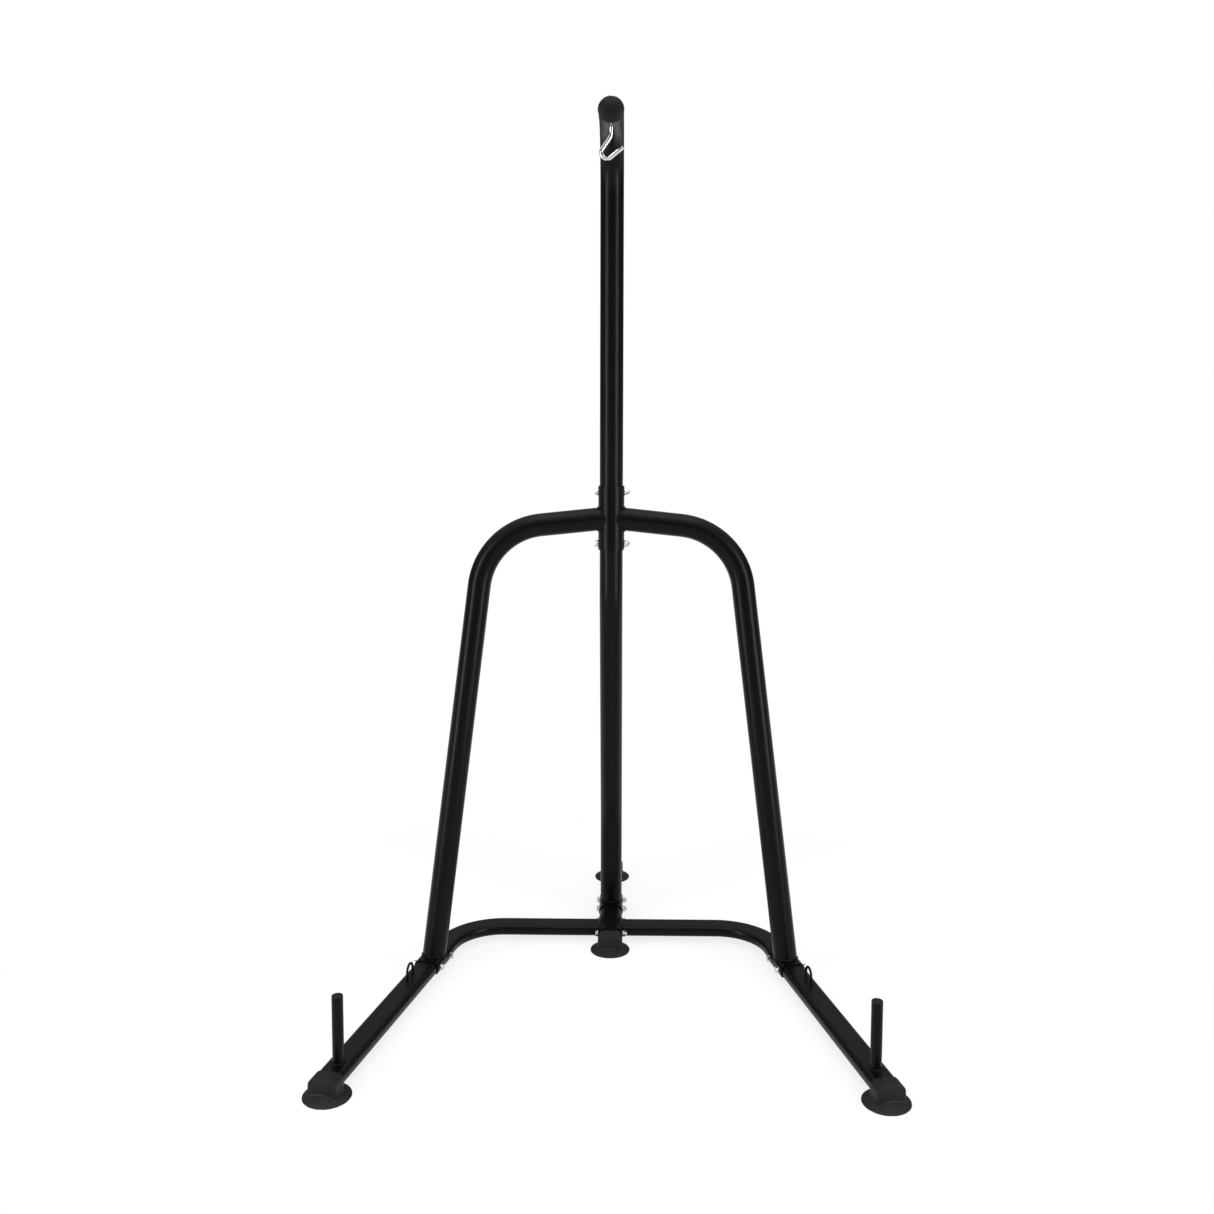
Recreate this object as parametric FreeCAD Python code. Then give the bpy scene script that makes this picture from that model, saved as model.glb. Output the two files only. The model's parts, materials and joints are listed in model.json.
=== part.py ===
import FreeCAD, Part
import math
import os

# A free-standing punching-bag stand: a bent mast in two halves, a clamp that ties it to two bent
# legs, and a base of flat-oval rails on rubber feet. Lengths are in millimetres, angles in degrees.
# +Z is up, +X to the right, +Y towards the rear. The origin is on the floor, in the middle of the
# stand's plan. The right-hand pieces are drawn, and the left-hand ones are their mirror images.

# Overall sizes
base_half_width = 590.0     # middle plane to a front foot's centre
base_length = 1210.0        # front feet's centres to the rear foot's centre, along Y
arm_height = 2136.5         # floor to the arm's centreline
arm_reach = 275.0           # mast's axis to the end of the arm's tube
mast_y = 108.0              # Y of the mast's upper axis
middle_foot_lead = 9.0      # middle foot's centre, ahead of the mast's upper axis

# Round tube of the mast and the legs
tube_d = 60.0
tube_wall = 2.0
arm_bend_radius = 150.0
mast_bend_radius = 180.0
leg_bend_radius = 180.0

# Flat-oval tube of the rails
rail_w = 60.0
rail_h = 30.0
rail_corner = 13.0
rail_wall = 2.0
rail_bottom = 15.0
rail_splay = 13.4           # turn of a side rail out of the Y direction
rail_bend_radius = 150.0

# Clearances
slip_fit = 0.3              # between a piece and what slides over it or into it
thread_fit = 0.05           # radial, between a thread and its nut
swivel_fit = 0.08           # radial, between the hook's shank and its holes
bolt_hole_fit = 0.5         # radial, between a bolt and its holes

# Clamp that holds the two halves of the mast and the legs
clamp_z = 1163.0
clamp_height = 166.0
clamp_wall = 3.5
clamp_gap = 13.0            # slot between the two half shells
clamp_corner = 7.0
clamp_bolt_spacing = 136.0
mast_joint_gap = 2.0        # between the two halves of the mast
spigot_wall = 2.5

# Lower mast, which steps back to the rear of the clamp's axis
step_back = 217.0
step_top_z = 939.0
step_bottom_z = 281.0

# Legs
shoulder_x = 326.5          # corner of a leg's two straight centrelines
arm_droop = 6.0
saddle_from_foot = 590.0    # front foot's centre to the middle of the leg, along the rail

# Saddles of folded plate over the rails, and the side plates of the crossbar
saddle_wall = 3.0
saddle_length = 100.0
saddle_lift = 2.0           # rail's underside to the lower edge of a saddle
leg_saddle_bolt_spacing = 64.0
mast_saddle_bolt_spacing = 60.0
side_plate_margin = 9.5     # bolt's axis to the end of a side plate
side_plate_lap = 11.5       # rail's side to a side plate's upper edge
boot_to_side_plate = 11.5
bolt_to_crossbar = 1.5      # clear gap beside a washer

# Fasteners: thread radius, width across flats, head and nut heights, washer radius and thickness
clamp_bolt = {"r": 5.0, "flats": 16.0, "head": 6.4, "nut": 8.0, "washer_r": 10.0, "washer": 2.0}
rail_bolt = {"r": 4.0, "flats": 13.0, "head": 5.3, "nut": 6.5, "washer_r": 8.0, "washer": 1.6}
thread_end = 4.0            # what stands out of a nut
chamfer = 0.8               # on heads, nuts and the hook's ends

# Weld beads
bead = 3.2

# Weight pegs
peg_d = 25.0
peg_wall = 2.0
peg_top_z = 195.5
peg_from_foot = 54.0
peg_cap_inset = 0.2         # the cap is this much inside the peg's outline, so that plates pass
peg_cap_edge = 1.0
peg_cap_thickness = 3.0
peg_cap_plug = 15.0

# Tie-down loops
loop_rod_d = 6.0
loop_span = 33.0            # between the centrelines of its two feet
loop_rise = 36.0            # rail's top to the top of the loop
loop_from_foot = 459.0
loop_offset = 9.0           # rail's middle out to the loop
loop_blob_r = 5.5
loop_blob_rise = 3.0

# Rubber feet
foot_d = 105.5
foot_rim = 2.5
foot_cone_top_d = 46.0
foot_cone_top_z = 16.0
boot_wall = 2.5
boot_front = 24.5           # foot's centre to the boot's closed end
boot_back = 13.0            # foot's centre to the boot's open end

# End cap of the arm
cap_lip = 0.8
cap_rim = 2.5
cap_dome = 7.0
cap_plug = 22.0
cap_wall = 2.0

# Bag hook
hook_rod_d = 10.0
hook_from_end = 45.0        # arm's open end to the hook's axis
hook_drop = 20.0            # arm's underside to the corner of the hook's neck
hook_neck_lean = 35.0
hook_neck_length = 36.6
hook_bowl_radius = 14.0     # centreline
hook_tip_rise = 39.0
hook_tip_length = 36.0
hook_neck_radius = 26.0
hook_nut_height = 8.0
hook_nut_share = 1.7        # the nut's width across flats, in rod diameters
hook_thread_end = 2.0       # what stands out of the hook's nut
hook_seat_rim = 8.0         # hook's rod to the outside of the seat washer
hook_seat_thickness = 3.0
hook_seat_gap = 0.2         # over and under the seat of the hook's nut

# Sizes that follow
tube_r = tube_d / 2
tube_bore_r = tube_r - tube_wall
rail_mid_z = rail_bottom + rail_h / 2
rail_top_z = rail_bottom + rail_h
front_y = -base_length / 2
rear_y = base_length / 2
foot_r = foot_d / 2
shell_bore_r = tube_r + slip_fit
shell_r = shell_bore_r + clamp_wall
saddle_grow = slip_fit + saddle_wall
saddle_bottom_z = rail_bottom + saddle_lift
saddle_half_w = rail_w / 2 + saddle_grow
mast_base_y = mast_y + step_back
hook_y = mast_y - arm_reach + hook_from_end
rail_end = boot_front - boot_wall - slip_fit
side_plate_bolt_offset = rail_w / 2 + rail_bolt["washer_r"] + bolt_to_crossbar
side_plate_length = 2 * (side_plate_bolt_offset + side_plate_margin)
middle_foot_y = mast_y - middle_foot_lead
crossbar_y = middle_foot_y + boot_back + boot_to_side_plate + side_plate_length / 2

up = FreeCAD.Vector(0, 0, 1)


def vec(x, y, z):
    return FreeCAD.Vector(x, y, z)


def mirrored(shape):
    return shape.mirror(vec(0, 0, 0), vec(1, 0, 0))


def runs_along_y(edge):
    return abs(edge.tangentAt(edge.FirstParameter).y) > 0.5


def fused(shapes):
    return shapes[0].multiFuse(shapes[1:]).removeSplitter()


def bent_wire(points, radius):
    """Straight runs between the points, joined by tangent arcs."""
    edges = []
    start = points[0]
    for before, corner, after in zip(points, points[1:], points[2:]):
        back = (before - corner).normalize()
        ahead = (after - corner).normalize()
        half_angle = back.getAngle(ahead) / 2
        reach = radius / math.tan(half_angle)
        first = corner + back * reach
        last = corner + ahead * reach
        inward = (back + ahead).normalize()
        middle = corner + inward * (radius / math.sin(half_angle) - radius)
        edges.append(Part.LineSegment(start, first).toShape())
        edges.append(Part.Arc(first, middle, last).toShape())
        start = last
    edges.append(Part.LineSegment(start, points[-1]).toShape())
    return Part.Wire(edges)


def round_bar(path, radius):
    first = path.Edges[0]
    start = first.valueAt(first.FirstParameter)
    heading = first.tangentAt(first.FirstParameter)
    ring = Part.Wire(Part.Circle(start, heading, radius).toShape())
    return path.makePipeShell([ring], True, False)


def round_tube(path):
    return round_bar(path, tube_r).cut(round_bar(path, tube_bore_r))


def cross_bar(x, y, z, radius, reach):
    """A round bar along X, as long as reach on each side of x."""
    return Part.makeCylinder(radius, 2 * reach, vec(x - reach, y, z), vec(1, 0, 0))


def rail_bar(grow, start_y, end_y):
    """A straight bar along Y with a rail's outline, larger by grow all round."""
    half_w = rail_w / 2 + grow
    half_h = rail_h / 2 + grow
    corner = vec(-half_w, start_y, rail_mid_z - half_h)
    bar = Part.makeBox(2 * half_w, end_y - start_y, 2 * half_h, corner)
    long_edges = [e for e in bar.Edges if runs_along_y(e)]
    return bar.makeFillet(rail_corner + grow, long_edges)


def along_rail(shape, distance):
    """Move a shape from the Y axis to the right-hand rail, at a distance behind its foot."""
    turned = shape.copy()
    turned.rotate(vec(0, 0, 0), up, rail_splay)
    angle = math.radians(rail_splay)
    x = base_half_width - distance * math.sin(angle)
    turned.translate(vec(x, front_y + distance * math.cos(angle), 0))
    return turned


def rail_point(distance):
    """A point at a distance behind the right-hand foot, on the rail's centreline."""
    angle = math.radians(rail_splay)
    x = base_half_width - distance * math.sin(angle)
    return vec(x, front_y + distance * math.cos(angle), rail_mid_z)


def moved(shape, x, y):
    placed = shape.copy()
    placed.translate(vec(x, y, 0))
    return placed


# Mast

def arm_axis_points():
    bottom = clamp_z + mast_joint_gap / 2
    return [vec(0, mast_y, bottom), vec(0, mast_y, arm_height),
            vec(0, mast_y - arm_reach, arm_height)]


def make_upper_mast():
    tube = round_tube(bent_wire(arm_axis_points(), arm_bend_radius))
    hook_hole_r = hook_rod_d / 2 + swivel_fit
    foot_of_hole = vec(0, hook_y, arm_height - tube_d)
    hook_hole = Part.makeCylinder(hook_hole_r, 2 * tube_d, foot_of_hole)
    return tube.cut([hook_hole, clamp_bolt_hole(1)])


def lower_mast_points():
    top = clamp_z - mast_joint_gap / 2
    return [vec(0, mast_y, top), vec(0, mast_y, step_top_z),
            vec(0, mast_base_y, step_bottom_z), vec(0, mast_base_y, rail_mid_z)]


def make_lower_mast():
    tube = round_tube(bent_wire(lower_mast_points(), mast_bend_radius))
    return tube.cut([saddle_envelope_on_centre(), clamp_bolt_hole(-1)])


def make_mast_spigot():
    radius = tube_bore_r - slip_fit
    foot = vec(0, mast_y, clamp_z - clamp_height / 2)
    tube = Part.makeCylinder(radius, clamp_height, foot)
    bore = Part.makeCylinder(radius - spigot_wall, clamp_height, foot)
    return tube.cut([bore, clamp_bolt_hole(1), clamp_bolt_hole(-1)])


def make_arm_cap():
    end_y = mast_y - arm_reach
    rim_r = tube_r + cap_lip
    rim = Part.makeCylinder(rim_r, cap_rim, vec(0, end_y, arm_height), vec(0, -1, 0))
    ball_r = (rim_r ** 2 + cap_dome ** 2) / (2 * cap_dome)
    ball = Part.makeSphere(ball_r, vec(0, end_y - cap_rim - cap_dome + ball_r, arm_height))
    slab_y = end_y - cap_rim - cap_dome
    slab = Part.makeCylinder(rim_r, cap_dome, vec(0, slab_y, arm_height), vec(0, 1, 0))
    plug_r = tube_bore_r - slip_fit
    plug = Part.makeCylinder(plug_r, cap_plug, vec(0, end_y, arm_height), vec(0, 1, 0))
    hollow = Part.makeCylinder(plug_r - cap_wall, cap_plug, vec(0, end_y, arm_height),
                               vec(0, 1, 0))
    return fused([rim, ball.common(slab), plug.cut(hollow)])


# Clamp

def clamp_bolt_hole(side):
    z = clamp_z + side * clamp_bolt_spacing / 2
    return cross_bar(0, mast_y, z, clamp_bolt["r"] + bolt_hole_fit, 2 * shell_r)


def make_clamp_shell():
    foot = vec(0, mast_y, clamp_z - clamp_height / 2)
    ring = Part.makeCylinder(shell_r, clamp_height, foot)
    bore = Part.makeCylinder(shell_bore_r, clamp_height, foot)
    corner = vec(clamp_gap / 2, mast_y - 2 * shell_r, clamp_z - clamp_height / 2)
    half = Part.makeBox(2 * shell_r, 4 * shell_r, clamp_height, corner)
    gap_edges = [e for e in half.Edges if runs_along_y(e) and e.CenterOfMass.x < shell_r]
    half = half.makeFillet(clamp_corner, gap_edges)
    shell = ring.cut(bore).common(half)
    return shell.cut([clamp_bolt_hole(1), clamp_bolt_hole(-1)])


def clamp_envelope(radius):
    foot = vec(0, mast_y, clamp_z - clamp_height / 2)
    return Part.makeCylinder(radius, clamp_height, foot)


# Legs

def leg_axis_points():
    """Arm and leg lie in one plane, which leans forward from the clamp to the saddle."""
    root = vec(0, mast_y, clamp_z)
    base = rail_point(saddle_from_foot)
    down = (vec(0, base.y, base.z) - root).normalize()
    drop = shoulder_x * math.tan(math.radians(arm_droop))
    shoulder = root + vec(shoulder_x, 0, 0) + down * drop
    return [root, shoulder, base]


def leg_path():
    return bent_wire(leg_axis_points(), leg_bend_radius)


def make_leg():
    tube = round_tube(leg_path())
    return tube.cut([clamp_envelope(shell_r), saddle_envelope_on_rail(saddle_grow)])


def make_leg_welds():
    """A bead round the arm's end on the clamp, and one round the leg's foot on the saddle."""
    collar = round_bar(leg_path(), tube_r + bead).cut(round_bar(leg_path(), tube_r))
    at_clamp = clamp_envelope(shell_r + bead).cut(clamp_envelope(shell_r))
    on_saddle = saddle_envelope_on_rail(saddle_grow + bead)
    on_saddle = on_saddle.cut(saddle_envelope_on_rail(saddle_grow))
    return [collar.common(at_clamp), collar.common(on_saddle)]


# Saddles and side plates

def saddle_envelope(grow):
    """What the saddle fills, as a full bar, down to its lower edge."""
    bar = rail_bar(grow, -saddle_length / 2, saddle_length / 2)
    half_w = rail_w / 2 + grow
    below = Part.makeBox(2 * half_w, saddle_length, saddle_bottom_z,
                         vec(-half_w, -saddle_length / 2, 0))
    return bar.cut(below)


def saddle_envelope_on_rail(grow):
    return along_rail(saddle_envelope(grow), saddle_from_foot)


def saddle_envelope_on_centre():
    return moved(saddle_envelope(saddle_grow), 0, mast_base_y)


def make_saddle(bolt_spacing):
    plate = saddle_envelope(saddle_grow)
    plate = plate.cut(rail_bar(slip_fit, -saddle_length, saddle_length))
    return plate.cut(rail_bolt_holes(bolt_spacing))


def rail_bolt_holes(spacing):
    radius = rail_bolt["r"] + bolt_hole_fit
    return [cross_bar(0, side * spacing / 2, rail_mid_z, radius, rail_w) for side in (-1, 1)]


def make_side_plate():
    """Laps over the side and the top corner of the centre rail, on the right."""
    half = side_plate_length / 2
    plate = rail_bar(saddle_grow, -half, half).cut(rail_bar(slip_fit, -half, half))
    window = Part.makeBox(rail_w, side_plate_length, rail_h + 2 * saddle_grow,
                          vec(rail_w / 2 - side_plate_lap, -half, saddle_bottom_z))
    plate = plate.common(window)
    holes = rail_bolt_holes(2 * side_plate_bolt_offset)
    return moved(plate.cut(holes), 0, crossbar_y)


def side_plate_envelope(grow):
    half = side_plate_length / 2
    return moved(rail_bar(grow, -half, half), 0, crossbar_y)


def make_mast_base_weld():
    """A bead round the lower mast's foot on its saddle."""
    path = bent_wire(lower_mast_points(), mast_bend_radius)
    collar = round_bar(path, tube_r + bead).cut(round_bar(path, tube_r))
    on_saddle = saddle_envelope(saddle_grow + bead).cut(saddle_envelope(saddle_grow))
    return collar.common(moved(on_saddle, 0, mast_base_y))


# Rails

def side_rail_path():
    angle = math.radians(rail_splay)
    corner_distance = (crossbar_y - front_y) / math.cos(angle)
    inner_end = vec(0, crossbar_y, rail_mid_z)
    return bent_wire([rail_point(-rail_end), rail_point(corner_distance), inner_end],
                     rail_bend_radius)


def swept_rail(grow):
    outline = rail_bar(grow, 0, rail_w).Faces
    end = [face for face in outline if abs(face.CenterOfMass.y) < 0.001][0]
    profile = along_rail(end.OuterWire, -rail_end)
    return side_rail_path().makePipeShell([profile], True, False)


def make_side_rail():
    rail = swept_rail(0).cut(swept_rail(-rail_wall))
    rail = rail.cut(side_plate_envelope(saddle_grow))
    holes = rail_bolt_holes(leg_saddle_bolt_spacing)
    return rail.cut([along_rail(hole, saddle_from_foot) for hole in holes])


def make_centre_rail():
    start, end = middle_foot_y - rail_end, rear_y + rail_end
    rail = rail_bar(0, start, end).cut(rail_bar(-rail_wall, start, end))
    holes = [moved(hole, 0, mast_base_y) for hole in rail_bolt_holes(mast_saddle_bolt_spacing)]
    holes += [moved(hole, 0, crossbar_y) for hole in rail_bolt_holes(2 * side_plate_bolt_offset)]
    return rail.cut(holes)


def make_side_plate_weld():
    """A bead over the crossbar's end, above the washers on the side plate."""
    collar = swept_rail(bead).cut(swept_rail(0))
    on_plate = side_plate_envelope(saddle_grow + bead).cut(side_plate_envelope(saddle_grow))
    above = Part.makeBox(rail_w, 2 * rail_w, rail_h,
                         vec(0, crossbar_y - rail_w, rail_mid_z + rail_bolt["washer_r"] + slip_fit))
    return collar.common(on_plate).common(above)


# Pegs, loops and feet, drawn at the foot's centre with the rail running back along +Y

def make_peg():
    """An open tube with the bead that welds it to the rail."""
    foot = vec(0, 0, rail_top_z)
    tube = Part.makeCylinder(peg_d / 2, peg_top_z - peg_cap_thickness - rail_top_z, foot)
    ridge = Part.makeCone(peg_d / 2 + bead, peg_d / 2, bead, foot)
    bore = Part.makeCylinder(peg_d / 2 - peg_wall, peg_top_z, foot)
    return fused([tube, ridge]).cut(bore)


def make_peg_cap():
    top = vec(0, 0, peg_top_z - peg_cap_thickness)
    disc = Part.makeCylinder(peg_d / 2 - peg_cap_inset, peg_cap_thickness, top)
    outer = [e for e in disc.Edges if e.CenterOfMass.z > peg_top_z - 0.001]
    disc = disc.makeFillet(peg_cap_edge, outer)
    plug = Part.makeCylinder(peg_d / 2 - peg_wall - slip_fit, peg_cap_plug, top, vec(0, 0, -1))
    return fused([disc, plug])


def make_tie_loop():
    """A staple of round rod, in the rail's own vertical plane."""
    half = loop_span / 2
    spring_z = rail_top_z + loop_rise - loop_rod_d / 2 - half
    near, far = vec(loop_offset, -half, spring_z), vec(loop_offset, half, spring_z)
    edges = [Part.LineSegment(vec(loop_offset, -half, rail_top_z), near).toShape(),
             Part.Arc(near, vec(loop_offset, 0, spring_z + half), far).toShape(),
             Part.LineSegment(far, vec(loop_offset, half, rail_top_z)).toShape()]
    return round_bar(Part.Wire(edges), loop_rod_d / 2)


def make_loop_welds():
    blobs = []
    for side in (-1, 1):
        foot = vec(loop_offset, side * loop_span / 2, rail_top_z)
        blob = Part.makeCone(loop_blob_r, loop_rod_d / 2 + bead / 4, loop_blob_rise, foot)
        blobs.append(blob.cut(Part.makeCylinder(loop_rod_d / 2, loop_blob_rise, foot)))
    return blobs


def make_foot():
    """A rubber boot over a rail's end, on a flared round skirt."""
    half_w = rail_w / 2 + slip_fit + boot_wall
    top_z = rail_top_z + slip_fit + boot_wall
    boot = Part.makeBox(2 * half_w, boot_front + boot_back, top_z, vec(-half_w, -boot_front, 0))
    shoulders = [e for e in boot.Edges if runs_along_y(e) and e.CenterOfMass.z > rail_mid_z]
    boot = boot.makeFillet(rail_corner + boot_wall, shoulders)
    rim = Part.makeCylinder(foot_r, foot_rim)
    cone = Part.makeCone(foot_r, foot_cone_top_d / 2, foot_cone_top_z - foot_rim,
                         vec(0, 0, foot_rim))
    socket = rail_bar(slip_fit, -rail_end - slip_fit, rail_w)
    return fused([boot, rim, cone]).cut(socket)


# Fasteners

def hexagon(flats, height):
    """A six-sided block along +X, with its outer corners turned off at the far end."""
    corner_r = flats / math.sqrt(3)
    turns = [math.radians(60 * i) for i in range(7)]
    points = [vec(0, corner_r * math.cos(turn), corner_r * math.sin(turn)) for turn in turns]
    block = Part.Face(Part.makePolygon(points)).extrude(vec(height, 0, 0))
    body = Part.makeCylinder(corner_r, height - chamfer, vec(0, 0, 0), vec(1, 0, 0))
    crown = Part.makeCone(corner_r, corner_r - 2 * chamfer, chamfer,
                          vec(height - chamfer, 0, 0), vec(1, 0, 0))
    return block.common(fused([body, crown]))


def fastener(size, grip):
    """A bolt, two washers and a nut along X, centred on what they hold; the head is at -X."""
    seat = grip / 2 + size["washer"]
    head = hexagon(size["flats"], size["head"]).mirror(vec(0, 0, 0), vec(1, 0, 0))
    head.translate(vec(-seat, 0, 0))
    reach = seat + size["nut"] + thread_end
    shank = Part.makeCylinder(size["r"], seat + reach, vec(-seat, 0, 0), vec(1, 0, 0))
    tip = [e for e in shank.Edges if e.CenterOfMass.x > reach - 0.001]
    bolt = fused([head, shank.makeChamfer(chamfer, tip)])
    hole = Part.makeCylinder(size["r"] + thread_fit, 4 * grip, vec(-2 * grip, 0, 0), vec(1, 0, 0))
    nut = hexagon(size["flats"], size["nut"])
    nut.translate(vec(seat, 0, 0))
    washers = []
    for x in (-seat, grip / 2):
        disc = Part.makeCylinder(size["washer_r"], size["washer"], vec(x, 0, 0), vec(1, 0, 0))
        washers.append(disc.cut(hole))
    return {"bolts": [bolt], "washers": washers, "nuts": [nut.cut(hole)]}


def fastener_set(size, grip, places):
    """The same fastener at several (y, z) places, sorted into bolts, washers and nuts."""
    group = {"bolts": [], "washers": [], "nuts": []}
    single = fastener(size, grip)
    for y, z in places:
        for kind, solids in single.items():
            for solid in solids:
                copy = solid.copy()
                copy.translate(vec(0, y, z))
                group[kind].append(copy)
    return group


def clamp_fasteners():
    places = [(mast_y, clamp_z + side * clamp_bolt_spacing / 2) for side in (-1, 1)]
    return fastener_set(clamp_bolt, 2 * shell_r, places)


def rail_fasteners(middle_y, spacing):
    places = [(middle_y + side * spacing / 2, rail_mid_z) for side in (-1, 1)]
    return fastener_set(rail_bolt, 2 * saddle_half_w, places)


# Hook

def hook_path():
    """From the shank's top down through the arm, along the neck, round the bowl to the tip."""
    lean = math.radians(hook_neck_lean)
    rise = math.radians(hook_tip_rise)
    seat_top = arm_height + tube_r + hook_seat_thickness
    top = vec(0, 0, seat_top + hook_seat_gap + hook_nut_height + hook_thread_end)
    corner = vec(0, 0, arm_height - tube_r - hook_drop)
    neck_end = corner + vec(-math.sin(lean), 0, -math.cos(lean)) * hook_neck_length
    centre = neck_end + vec(math.cos(lean), 0, -math.sin(lean)) * hook_bowl_radius
    bowl_end = centre + vec(math.sin(rise), 0, -math.cos(rise)) * hook_bowl_radius
    middle_angle = (math.pi - lean + math.radians(270) + rise) / 2
    middle = centre + vec(math.cos(middle_angle), 0, math.sin(middle_angle)) * hook_bowl_radius
    tip = bowl_end + vec(math.cos(rise), 0, math.sin(rise)) * hook_tip_length
    neck = bent_wire([top, corner, neck_end], hook_neck_radius)
    bowl = Part.Arc(neck_end, middle, bowl_end).toShape()
    point = Part.LineSegment(bowl_end, tip).toShape()
    return Part.Wire(neck.Edges + [bowl, point])


def make_bag_hook():
    rod = round_bar(hook_path(), hook_rod_d / 2)
    ends = [e for e in rod.Edges if len(e.Vertexes) == 1 and is_rod_end(e)]
    rod = rod.makeChamfer(chamfer, ends)
    return moved(rod, 0, hook_y)


def is_rod_end(edge):
    """The two circles where the rod stops."""
    ends = [hook_path().Vertexes[0].Point, hook_path().Vertexes[-1].Point]
    return any((edge.CenterOfMass - end).Length < 0.01 for end in ends)


def make_hook_seat():
    """A washer under the hook's nut, hollowed to sit on the arm's round top."""
    top = arm_height + tube_r + hook_seat_thickness
    radius = hook_rod_d / 2 + hook_seat_rim
    block = Part.makeCylinder(radius, top - arm_height, vec(0, hook_y, arm_height))
    arm = Part.makeCylinder(tube_r + hook_seat_gap, tube_d, vec(0, hook_y - tube_r, arm_height),
                            vec(0, 1, 0))
    hole = Part.makeCylinder(hook_rod_d / 2 + swivel_fit, tube_d, vec(0, hook_y, arm_height))
    return block.cut([arm, hole])


def make_hook_nut():
    nut = hexagon(hook_nut_share * hook_rod_d, hook_nut_height)
    nut.rotate(vec(0, 0, 0), vec(0, 1, 0), -90)
    z = arm_height + tube_r + hook_seat_thickness + hook_seat_gap
    nut.translate(vec(0, hook_y, z))
    hole = Part.makeCylinder(hook_rod_d / 2 + thread_fit, tube_d, vec(0, hook_y, arm_height))
    return nut.cut(hole)


# The stand

def paired_nodes():
    """Pieces on the right and their mirror images on the left, by name."""
    loose = rail_fasteners(0, leg_saddle_bolt_spacing)
    placed = {kind: [along_rail(solid, saddle_from_foot) for solid in solids]
              for kind, solids in loose.items()}
    right = {
        "clamp_shell": [make_clamp_shell()],
        "leg": [make_leg()],
        "leg_welds": make_leg_welds(),
        "leg_saddle": [along_rail(make_saddle(leg_saddle_bolt_spacing), saddle_from_foot)],
        "saddle_bolts": placed["bolts"],
        "saddle_washers": placed["washers"],
        "saddle_nuts": placed["nuts"],
        "side_rail": [make_side_rail()],
        "side_plate": [make_side_plate()],
        "side_plate_weld": [make_side_plate_weld()],
        "front_foot": [along_rail(make_foot(), 0)],
        "weight_peg": [along_rail(make_peg(), peg_from_foot)],
        "peg_cap": [along_rail(make_peg_cap(), peg_from_foot)],
        "tie_loop": [along_rail(make_tie_loop(), loop_from_foot)],
        "tie_loop_welds": [along_rail(blob, loop_from_foot) for blob in make_loop_welds()],
    }
    nodes = {}
    for name, solids in right.items():
        nodes["right_" + name] = solids
        nodes["left_" + name] = [mirrored(solid) for solid in solids]
    return nodes


def middle_nodes():
    rear_peg_y = rear_y - peg_from_foot
    mast_foot = rail_fasteners(mast_base_y, mast_saddle_bolt_spacing)
    crossbar = rail_fasteners(crossbar_y, 2 * side_plate_bolt_offset)
    clamp = clamp_fasteners()
    rear_foot = make_foot()
    rear_foot.rotate(vec(0, 0, 0), up, 180)
    return {
        "upper_mast": [make_upper_mast()],
        "lower_mast": [make_lower_mast()],
        "mast_spigot": [make_mast_spigot()],
        "mast_saddle": [moved(make_saddle(mast_saddle_bolt_spacing), 0, mast_base_y)],
        "mast_base_weld": [make_mast_base_weld()],
        "centre_rail": [make_centre_rail()],
        "middle_foot": [moved(make_foot(), 0, middle_foot_y)],
        "rear_foot": [moved(rear_foot, 0, rear_y)],
        "rear_weight_peg": [moved(make_peg(), 0, rear_peg_y)],
        "rear_peg_cap": [moved(make_peg_cap(), 0, rear_peg_y)],
        "arm_end_cap": [make_arm_cap()],
        "clamp_bolts": clamp["bolts"],
        "clamp_washers": clamp["washers"],
        "clamp_nuts": clamp["nuts"],
        "mast_saddle_bolts": mast_foot["bolts"],
        "mast_saddle_washers": mast_foot["washers"],
        "mast_saddle_nuts": mast_foot["nuts"],
        "side_plate_bolts": crossbar["bolts"],
        "side_plate_washers": crossbar["washers"],
        "side_plate_nuts": crossbar["nuts"],
        "bag_hook": [make_bag_hook()],
        "hook_nut": [make_hook_nut()],
        "hook_seat": [make_hook_seat()],
    }


def main():
    os.makedirs("parts", exist_ok=True)
    nodes = {**middle_nodes(), **paired_nodes()}
    for name, solids in nodes.items():
        loose = [solid for shape in solids for solid in shape.Solids]
        shape = loose[0] if len(loose) == 1 else Part.makeCompound(loose)
        shape.exportStep("parts/" + name + ".step")
        print(name, len(loose), shape.isValid(), round(shape.Volume / 1000, 1))
    print(len(nodes), "nodes")


main()
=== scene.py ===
import bmesh
import bpy
import json
import math
from mathutils import Matrix, Vector
from mathutils.bvhtree import BVHTree


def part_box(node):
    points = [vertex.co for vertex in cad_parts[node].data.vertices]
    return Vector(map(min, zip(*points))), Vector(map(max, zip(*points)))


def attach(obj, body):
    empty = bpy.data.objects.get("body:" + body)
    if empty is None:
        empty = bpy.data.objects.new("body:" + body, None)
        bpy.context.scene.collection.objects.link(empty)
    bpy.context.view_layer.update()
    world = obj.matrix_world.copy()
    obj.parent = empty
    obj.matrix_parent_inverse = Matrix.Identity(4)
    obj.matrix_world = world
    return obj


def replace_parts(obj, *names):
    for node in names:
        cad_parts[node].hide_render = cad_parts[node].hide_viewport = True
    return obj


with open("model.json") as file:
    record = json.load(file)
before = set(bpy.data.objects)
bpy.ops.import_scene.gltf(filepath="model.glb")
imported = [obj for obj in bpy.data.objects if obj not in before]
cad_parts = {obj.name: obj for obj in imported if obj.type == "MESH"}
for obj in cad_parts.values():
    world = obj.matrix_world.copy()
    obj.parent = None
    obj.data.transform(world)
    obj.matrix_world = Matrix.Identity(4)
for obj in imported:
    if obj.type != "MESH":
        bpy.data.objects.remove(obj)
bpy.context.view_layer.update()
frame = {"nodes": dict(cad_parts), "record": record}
nodes = frame["nodes"]
print("frame loaded:", len(nodes), "nodes")


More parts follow.
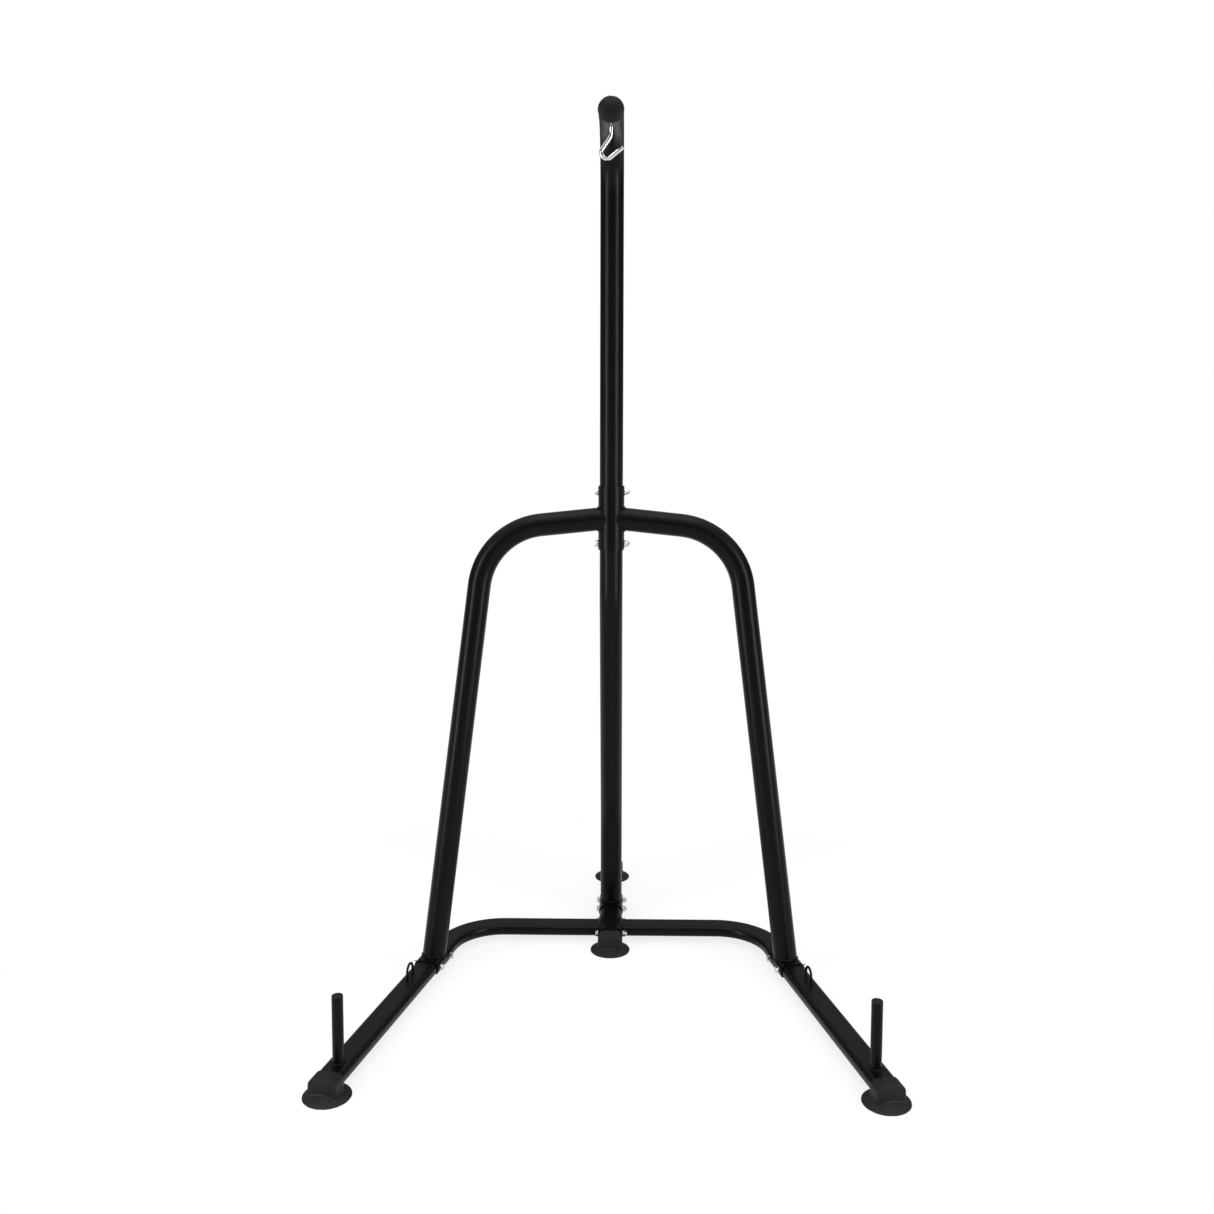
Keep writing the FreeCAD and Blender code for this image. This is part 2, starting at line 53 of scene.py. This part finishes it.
cameraSetup = {
    "place": (0.0364, -3.067, 1.470),
    "pitch": 0.090,           # looking down, in radians
    "turn": 0.015,            # to the left
    "roll": 0.0025,
    "lens": 36.33,
    "sensor": 36.0,
    "shiftY": -0.080,
}


def makeCamera(setup):
    data = bpy.data.cameras.new("camera")
    data.lens = setup["lens"]
    data.sensor_width = setup["sensor"]
    data.shift_y = setup["shiftY"]
    data.clip_end = 60
    camera = bpy.data.objects.new("camera", data)
    bpy.context.collection.objects.link(camera)
    aim = Matrix.Rotation(setup["turn"], 4, "Z")
    aim = aim @ Matrix.Rotation(math.pi / 2 - setup["pitch"], 4, "X")
    aim = aim @ Matrix.Rotation(setup["roll"], 4, "Z")
    camera.matrix_world = Matrix.Translation(setup["place"]) @ aim
    bpy.context.scene.camera = camera


makeCamera(cameraSetup)
print("camera placed")


class Wire:
    # an output socket that can be added, multiplied and so on
    def __init__(self, graph, socket):
        self.graph = graph
        self.socket = socket

    def maths(self, operation, first, second):
        return self.graph.node("ShaderNodeMath", {"operation": operation}, {0: first, 1: second})

    def __add__(self, other):
        return self.maths("ADD", self, other)

    def __mul__(self, other):
        return self.maths("MULTIPLY", self, other)

    def __pow__(self, other):
        return self.maths("POWER", self, other)

    __radd__ = __add__
    __rmul__ = __mul__


class Graph:
    # a node tree being wired up
    def __init__(self, tree):
        self.tree = tree

    def plug(self, socket, value):
        if isinstance(value, Wire):
            self.tree.links.new(value.socket, socket)
        else:
            socket.default_value = value

    def node(self, kind, settings=None, inputs=None, output=0):
        made = self.tree.nodes.new(kind)
        for key, value in (settings or {}).items():
            if key == "stops":
                self.setStops(made.color_ramp, value)
            else:
                setattr(made, key, value)
        for key, value in (inputs or {}).items():
            self.plug(made.inputs[key], value)
        return Wire(self, made.outputs[output])

    def setStops(self, ramp, stops):
        while len(ramp.elements) < len(stops):
            ramp.elements.new(0.5)
        for element, (place, shade) in zip(ramp.elements, stops):
            element.position = place
            element.color = (shade, shade, shade, 1)


class Finish(Graph):
    # a material being built round its Principled shader
    def __init__(self, name):
        self.material = bpy.data.materials.new(name)
        self.material.use_nodes = True
        super().__init__(self.material.node_tree)
        self.shader = self.tree.nodes["Principled BSDF"]

    def place(self):
        return self.node("ShaderNodeTexCoord", output="Object")

    def noise(self, scale, detail=2.0, roughness=0.5):
        return self.node("ShaderNodeTexNoise", {}, {
            "Vector": self.place(), "Scale": scale, "Detail": detail, "Roughness": roughness})

    def mixed(self, factor, first, second):
        return self.node("ShaderNodeMix", {"data_type": "RGBA"},
                         {"Factor": factor, 6: first, 7: second}, output=2)

    def ramp(self, factor, stops):
        return self.node("ShaderNodeValToRGB", {"stops": stops}, {"Fac": factor})

    def bump(self, height, strength, distance):
        return self.node("ShaderNodeBump", {}, {
            "Height": height, "Strength": strength, "Distance": distance})

    def set(self, **values):
        for name, value in values.items():
            self.plug(self.shader.inputs[name.replace("_", " ")], value)
        return self.material


def grey(level, tint=0.0):
    return (level, level * (1 + tint / 2), level * (1 + tint), 1)


coatLook = {"dark": 0.0013, "pale": 0.0026, "tint": 0.06, "gloss": 0.27, "glossSpread": 0.10,
            "peel": 420.0, "grain": 1500.0, "relief": 0.00005}


def powderCoat(look):
    # satin black powder: a fine orange peel with a grain on top of it
    finish = Finish("powderCoat")
    peel = finish.noise(look["peel"], 2.0)
    grain = finish.noise(look["grain"], 3.0, 0.65)
    patches = finish.noise(5.0, 3.0)
    colour = finish.mixed(grain * 0.6 + patches * 0.4, grey(look["dark"], look["tint"]),
                          grey(look["pale"], look["tint"]))
    return finish.set(
        Base_Color=colour,
        Roughness=look["gloss"] + look["glossSpread"] * (peel * 0.5 + patches * 0.5),
        Specular_IOR_Level=0.11,
        Normal=finish.bump(peel * 0.65 + grain * 0.35, 0.55, look["relief"] * 4))


def zincPlate():
    # bright zinc with faint clouding
    finish = Finish("zincPlate")
    clouds = finish.noise(160.0, 3.0)
    scratches = finish.noise(2400.0, 2.0)
    colour = finish.mixed(clouds, (0.42, 0.43, 0.45, 1), (0.70, 0.70, 0.69, 1))
    return finish.set(Base_Color=colour, Metallic=1.0, Roughness=0.20 + 0.16 * clouds,
                      Normal=finish.bump(scratches, 0.2, 0.00005))


def chromePlate():
    finish = Finish("chromePlate")
    smudge = finish.noise(90.0, 3.0)
    colour = finish.mixed(smudge, (0.62, 0.63, 0.65, 1), (0.78, 0.78, 0.79, 1))
    return finish.set(Base_Color=colour, Metallic=1.0, Roughness=0.05 + 0.08 * smudge ** 2)


def mouldedPlastic():
    # spark-eroded black plastic
    finish = Finish("mouldedPlastic")
    grain = finish.noise(1300.0, 2.0)
    broad = finish.noise(60.0, 2.0)
    colour = finish.mixed(broad, grey(0.0022, 0.05), grey(0.0048, 0.05))
    return finish.set(Base_Color=colour, Specular_IOR_Level=0.20,
                      Roughness=0.42 + 0.12 * grain,
                      Normal=finish.bump(grain, 0.4, 0.0001))


def mouldedRubber():
    # matt rubber with a dusty bloom
    finish = Finish("mouldedRubber")
    grain = finish.noise(900.0, 3.0)
    bloom = finish.ramp(finish.noise(35.0, 4.0), [(0.35, 0.0), (0.75, 1.0)])
    colour = finish.mixed(bloom, grey(0.0022, 0.04), grey(0.0062, 0.02))
    return finish.set(Base_Color=colour, Specular_IOR_Level=0.28,
                      Roughness=0.52 + 0.16 * bloom,
                      Normal=finish.bump(grain, 0.45, 0.00012))


def drawnSteel():
    # drawn tube, blued and oiled
    finish = Finish("drawnSteel")
    streaks = finish.noise(220.0, 3.0)
    colour = finish.mixed(streaks, (0.020, 0.020, 0.022, 1), (0.055, 0.052, 0.050, 1))
    return finish.set(Base_Color=colour, Metallic=1.0, Roughness=0.34 + 0.2 * streaks)


finishes = {
    "powder_coat": powderCoat(coatLook),
    "zinc": zincPlate(),
    "chrome": chromePlate(),
    "black_plastic": mouldedPlastic(),
    "rubber": mouldedRubber(),
    "bare_steel": drawnSteel(),
}


def dressNodes():
    for piece in frame["record"]["subparts"]:
        node = nodes[piece["node"]]
        node.data.materials.clear()
        node.data.materials.append(finishes[piece["material_slot"]])


dressNodes()


weldLook = {"size": 0.0027, "loopSize": 0.0023, "lift": 0.0006,
            "ripplePitch": 0.0024, "rippleDepth": 0.00038, "chevron": 0.22,
            "wander": 0.00022, "ringPoints": 10, "stepsPerRipple": 5,
            "fewestRipples": 8, "startBack": 0.1, "legStartBack": 0.15}
frameLines = {"tubeRadius": 0.030, "shoulderX": 0.3265, "armDroop": math.radians(6.0),
              "railMidZ": 0.030, "railSplay": math.radians(13.4), "loopSpan": 0.033,
              "loopRodRadius": 0.003, "pegRadius": 0.0125, "pegBeadGap": 0.0003}


def middleOf(nodeName):
    low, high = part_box(nodeName)
    return (Vector(low) + Vector(high)) / 2


def surfaceOf(nodeName):
    mesh = nodes[nodeName].data
    return BVHTree.FromPolygons([vertex.co for vertex in mesh.vertices],
                                [face.vertices for face in mesh.polygons])


def jointCorners(nodeName, start, heading, radius, steps):
    # where a round bar's skin meets the node, with the way out of the corner at each point
    surface = surfaceOf(nodeName)
    across = heading.orthogonal().normalized()
    other = heading.cross(across)
    corners = []
    for step in range(steps):
        turn = 2 * math.pi * step / steps
        out = across * math.cos(turn) + other * math.sin(turn)
        hit = surface.ray_cast(start + out * radius, heading)[0]
        if hit is None:
            raise ValueError("no joint on " + nodeName)
        corners.append((hit, (out - heading).normalized()))
    return corners


def weldBead(nodeName, start, heading, radius, size, look):
    # a ring of overlapping puddles, as a hand-held torch leaves them
    ripples = max(look["fewestRipples"], round(2 * math.pi * radius / look["ripplePitch"]))
    steps = ripples * look["stepsPerRipple"]
    corners = jointCorners(nodeName, start, heading, radius, steps)
    points = []
    for step, (corner, out) in enumerate(corners):
        along = (corners[(step + 1) % steps][0] - corners[step - 1][0]).normalized()
        side = along.cross(out).normalized()
        turn = 2 * math.pi * step / steps
        drift = look["wander"] * math.sin(5 * turn + 1) * math.sin(3 * turn)
        middle = corner + out * (look["lift"] + drift)
        for spoke in range(look["ringPoints"]):
            angle = 2 * math.pi * spoke / look["ringPoints"]
            phase = step / look["stepsPerRipple"] + look["chevron"] * (1 - math.cos(angle))
            dip = look["rippleDepth"] * (1 - abs(math.sin(math.pi * phase)))
            reach = size + drift - dip
            points.append(middle + (out * math.cos(angle) + side * math.sin(angle)) * reach)
    count = look["ringPoints"]
    faces = []
    for step in range(steps):
        here, ahead = step * count, (step + 1) % steps * count
        for spoke in range(count):
            beside = (spoke + 1) % count
            faces.append((here + spoke, here + beside, ahead + beside, ahead + spoke))
    return points, faces


def addPiece(name, parts, slotName, body="frame"):
    points, faces = [], []
    for partPoints, partFaces in parts:
        first = len(points)
        points += partPoints
        faces += [[first + corner for corner in face] for face in partFaces]
    mesh = bpy.data.meshes.new(name)
    mesh.from_pydata(points, [], faces)
    mesh.update()
    tidy = bmesh.new()
    tidy.from_mesh(mesh)
    bmesh.ops.recalc_face_normals(tidy, faces=tidy.faces)
    tidy.to_mesh(mesh)
    tidy.free()
    for face in mesh.polygons:
        face.use_smooth = len(face.vertices) == 4
    piece = bpy.data.objects.new(name, mesh)
    bpy.context.collection.objects.link(piece)
    mesh.materials.append(finishes[slotName])
    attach(piece, body)
    return piece


def weldLeg(hand, sign, lines):
    # round the arm's end on the clamp, and round the leg's foot on its saddle
    clamp = middleOf(hand + "_clamp_shell")
    saddle = middleOf(hand + "_leg_saddle")
    root = Vector((0, clamp.y, clamp.z))
    base = Vector((saddle.x, saddle.y, lines["railMidZ"]))
    down = Vector((0, base.y - root.y, base.z - root.z)).normalized()
    drop = lines["shoulderX"] * math.tan(lines["armDroop"])
    shoulder = root + Vector((sign * lines["shoulderX"], 0, 0)) + down * drop
    inward = (root - shoulder).normalized()
    leg = (base - shoulder).normalized()
    beads = [weldBead(hand + "_clamp_shell", root - inward * weldLook["startBack"], inward,
                      lines["tubeRadius"], weldLook["size"], weldLook),
             weldBead(hand + "_leg_saddle", base - leg * weldLook["legStartBack"], leg,
                      lines["tubeRadius"], weldLook["size"], weldLook)]
    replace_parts(addPiece(hand + "LegWelds", beads, "powder_coat"), hand + "_leg_welds")


def weldLoop(hand, sign, lines):
    middle = middleOf(hand + "_tie_loop")
    along = Vector((-sign * math.sin(lines["railSplay"]), math.cos(lines["railSplay"]), 0))
    beads = []
    for end in (-1, 1):
        start = middle + along * (end * lines["loopSpan"] / 2)
        beads.append(weldBead(hand + "_side_rail", start, Vector((0, 0, -1)),
                              lines["loopRodRadius"], weldLook["loopSize"], weldLook))
    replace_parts(addPiece(hand + "LoopWelds", beads, "powder_coat"), hand + "_tie_loop_welds")


def weldPeg(pegNode, railNode, name, lines):
    middle = middleOf(pegNode)
    bead = weldBead(railNode, middle, Vector((0, 0, -1)), lines["pegRadius"] + lines["pegBeadGap"],
                    weldLook["size"], weldLook)
    addPiece(name, [bead], "powder_coat")


def weldMast(lines):
    start = middleOf("mast_saddle") + Vector((0, 0, weldLook["startBack"]))
    bead = weldBead("mast_saddle", start, Vector((0, 0, -1)), lines["tubeRadius"],
                    weldLook["size"], weldLook)
    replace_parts(addPiece("mastBaseWeld", [bead], "powder_coat"), "mast_base_weld")


for hand, sign in (("right", 1), ("left", -1)):
    weldLeg(hand, sign, frameLines)
    weldLoop(hand, sign, frameLines)
    weldPeg(hand + "_weight_peg", hand + "_side_rail", hand + "PegWeld", frameLines)
weldPeg("rear_weight_peg", "centre_rail", "rearPegWeld", frameLines)
weldMast(frameLines)
print("weld beads laid")


hookShape = {"rodRadius": 0.005, "chamfer": 0.0008, "aboveAxis": 0.0432, "belowAxis": 0.050,
             "neckLean": math.radians(35), "neckLength": 0.0366, "neckRadius": 0.026,
             "bowlRadius": 0.014, "tipRise": math.radians(39), "tipLength": 0.036,
             "sides": 40, "step": 0.0009, "threadPitch": 0.0015, "threadDepth": 0.00045,
             "threadLength": 0.062}


def straightRun(start, end, step):
    count = max(1, round((end - start).length / step))
    return [start.lerp(end, place / count) for place in range(count)]


def roundRun(centre, radius, first, last, step):
    # an arc in the hook's upright plane, without its last point
    count = max(4, round(abs(last - first) * radius / step))
    points = []
    for place in range(count):
        angle = first + (last - first) * place / count
        points.append(centre + Vector((math.cos(angle), 0, math.sin(angle))) * radius)
    return points


def hookPath(shape, top, y):
    # shank, leaning neck, bowl and rising tip
    lean, rise, bend = shape["neckLean"], shape["tipRise"], shape["neckRadius"]
    cornerZ = top - shape["aboveAxis"] - shape["belowAxis"]
    reach = bend * math.tan(lean / 2)
    down = Vector((-math.sin(lean), 0, -math.cos(lean)))
    corner = Vector((0, y, cornerZ))
    neckStart = corner + Vector((0, 0, reach))
    neckEnd = corner + down * shape["neckLength"]
    bowlCentre = neckEnd + Vector((math.cos(lean), 0, -math.sin(lean))) * shape["bowlRadius"]
    bowlStop = 1.5 * math.pi + rise
    bowlEnd = bowlCentre + Vector((math.cos(bowlStop), 0, math.sin(bowlStop))) * shape["bowlRadius"]
    tip = bowlEnd + Vector((math.cos(rise), 0, math.sin(rise))) * shape["tipLength"]
    step = shape["step"]
    path = straightRun(Vector((0, y, top)), neckStart, shape["threadPitch"] / 5)
    path += roundRun(neckStart - Vector((bend, 0, 0)), bend, 0, -lean, step)
    path += straightRun(corner + down * reach, neckEnd, step)
    path += roundRun(bowlCentre, shape["bowlRadius"], math.pi - lean, bowlStop, step)
    return path + straightRun(bowlEnd, tip, step) + [tip]


def hookRodRadius(shape, fromTop, toTip, turn):
    # a thread down the shank, and a small chamfer at both ends
    radius = shape["rodRadius"]
    if fromTop < shape["threadLength"]:
        phase = fromTop / shape["threadPitch"] + turn / (2 * math.pi)
        radius -= shape["threadDepth"] * abs(2 * (phase % 1) - 1)
    return min(radius, shape["rodRadius"] - shape["chamfer"] + min(fromTop, toTip))


def makeHook(shape):
    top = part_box("bag_hook")[1][2]
    path = hookPath(shape, top, middleOf("hook_nut").y)
    spans = [(after - before).length for before, after in zip(path, path[1:])]
    total = sum(spans)
    sides, points, faces, done = shape["sides"], [], [], 0.0
    for place, middle in enumerate(path):
        ahead = path[min(place + 1, len(path) - 1)] - path[max(place - 1, 0)]
        across = ahead.normalized().cross(Vector((0, 1, 0)))
        for side in range(sides):
            turn = 2 * math.pi * side / sides
            radius = hookRodRadius(shape, done, total - done, turn)
            spoke = across * math.cos(turn) + Vector((0, math.sin(turn), 0))
            points.append(middle + spoke * radius)
        done += spans[place] if place < len(spans) else 0
    for place in range(len(path) - 1):
        here, there = place * sides, (place + 1) * sides
        for side in range(sides):
            beside = (side + 1) % sides
            faces.append((here + side, here + beside, there + beside, there + side))
    faces.append(tuple(range(sides - 1, -1, -1)))
    faces.append(tuple(range((len(path) - 1) * sides, len(path) * sides)))
    piece = addPiece("bagHook", [(points, faces)], "chrome", "hook")
    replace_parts(piece, "bag_hook")


makeHook(hookShape)
print("hook bent")


footLook = {"voxel": 0.0014, "rounds": 5, "pull": 0.5}


def softenFoot(nodeName, pieceName, look):
    # moulded rubber has no sharp edge
    mesh = nodes[nodeName].data.copy()
    shape = bmesh.new()
    shape.from_mesh(mesh)
    bmesh.ops.remove_doubles(shape, verts=shape.verts, dist=0.000005)
    shape.to_mesh(mesh)
    shape.free()
    piece = bpy.data.objects.new(pieceName, mesh)
    bpy.context.collection.objects.link(piece)
    voxels = piece.modifiers.new("voxels", "REMESH")
    voxels.mode = "VOXEL"
    voxels.voxel_size = look["voxel"]
    voxels.use_smooth_shade = True
    soften = piece.modifiers.new("soften", "SMOOTH")
    soften.factor = look["pull"]
    soften.iterations = look["rounds"]
    ready = piece.evaluated_get(bpy.context.evaluated_depsgraph_get())
    piece.data = bpy.data.meshes.new_from_object(ready)
    piece.modifiers.clear()
    piece.data.materials.clear()
    piece.data.materials.append(finishes["rubber"])
    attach(piece, "frame")
    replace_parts(piece, nodeName)


softenFoot("right_front_foot", "rightFrontFoot", footLook)
softenFoot("left_front_foot", "leftFrontFoot", footLook)
softenFoot("middle_foot", "middleFoot", footLook)
softenFoot("rear_foot", "rearFoot", footLook)
print("rubber feet softened")


room = {"floorSize": 30.0, "floorColour": 0.86, "glowNear": 0.80, "glowReach": 2.5,
        "sky": [(0.40, 0.30), (0.50, 0.14), (0.62, 0.14), (0.85, 0.85)],
        "lampSize": (0.7, 2.6), "lampPower": 62.0, "lampSide": 2.6, "lampAhead": 1.9,
        "lampHeight": 1.5, "topPower": 60.0, "topHeight": 4.2,
        "topSize": (3.0, 3.0), "topAhead": 0.5, "aimHeight": 1.1, "fade": (0.32, 0.62)}


def makeFloor(setup):
    size = setup["floorSize"] / 2
    mesh = bpy.data.meshes.new("floor")
    corners = [(-size, -size, 0), (size, -size, 0), (size, size, 0), (-size, size, 0)]
    mesh.from_pydata(corners, [], [(0, 1, 2, 3)])
    floor = bpy.data.objects.new("floor", mesh)
    bpy.context.collection.objects.link(floor)
    mesh.materials.append(paleFloor(setup))


def paleFloor(setup):
    # white paper that takes a soft shadow near the stand and is plain white further out
    finish = Finish("paleFloor")
    fleck = finish.noise(3.0, 2.0)
    colour = finish.mixed(fleck, grey(setup["floorColour"]), grey(setup["floorColour"] + 0.02))
    finish.set(Base_Color=colour, Roughness=0.9, Specular_IOR_Level=0.1)
    glow = finish.node("ShaderNodeEmission", {}, {"Color": (1, 1, 1, 1), "Strength": 1.0})
    distance = finish.node("ShaderNodeVectorMath", {"operation": "LENGTH"},
                           {0: finish.place()}, output="Value")
    spread = finish.ramp(distance * (1 / setup["glowReach"]),
                         [(setup["fade"][0], setup["glowNear"]), (setup["fade"][1], 1.0)])
    seen = finish.node("ShaderNodeLightPath", output="Is Camera Ray")
    mirrored = finish.node("ShaderNodeLightPath", output="Is Glossy Ray")
    share = finish.node("ShaderNodeMath", {"operation": "MAXIMUM"}, {0: seen, 1: mirrored}) * spread
    both = finish.node("ShaderNodeMixShader", {}, {
        0: share, 1: Wire(finish, finish.shader.outputs[0]), 2: glow})
    finish.plug(finish.tree.nodes["Material Output"].inputs["Surface"], both)
    return finish.material


def makeWorld(setup):
    # a dim wall all round, brighter overhead, and white where the camera looks past the stand
    world = bpy.data.worlds.new("studio")
    world.use_nodes = True
    graph = Graph(world.node_tree)
    way = graph.node("ShaderNodeTexCoord", output="Generated")
    height = graph.node("ShaderNodeSeparateXYZ", {}, {"Vector": way}, output="Z")
    sky = graph.node("ShaderNodeValToRGB", {"stops": setup["sky"]},
                     {"Fac": height * 0.5 + 0.5})
    seen = graph.node("ShaderNodeLightPath", output="Is Camera Ray")
    colour = graph.node("ShaderNodeMix", {"data_type": "RGBA"},
                        {"Factor": seen, 6: sky, 7: (1, 1, 1, 1)}, output=2)
    graph.plug(world.node_tree.nodes["Background"].inputs["Color"], colour)
    bpy.context.scene.world = world


def makeLamp(name, place, target, size, power):
    data = bpy.data.lights.new(name, "AREA")
    data.shape = "RECTANGLE"
    data.size, data.size_y = size
    data.energy = power
    lamp = bpy.data.objects.new(name, data)
    lamp.location = place
    lamp.rotation_euler = (Vector(target) - Vector(place)).to_track_quat("-Z", "Y").to_euler()
    bpy.context.collection.objects.link(lamp)


def lightRoom(setup):
    middle = (0, 0, setup["aimHeight"])
    for side in (-1, 1):
        place = (side * setup["lampSide"], -setup["lampAhead"], setup["lampHeight"])
        makeLamp("stripLamp" + str(side), place, middle, setup["lampSize"], setup["lampPower"])
    place = (0, -setup["topAhead"], setup["topHeight"])
    makeLamp("topLamp", place, (0, 0, 0), setup["topSize"], setup["topPower"])
    bpy.context.scene.view_settings.view_transform = "Standard"


makeFloor(room)
makeWorld(room)
lightRoom(room)
print("room lit")
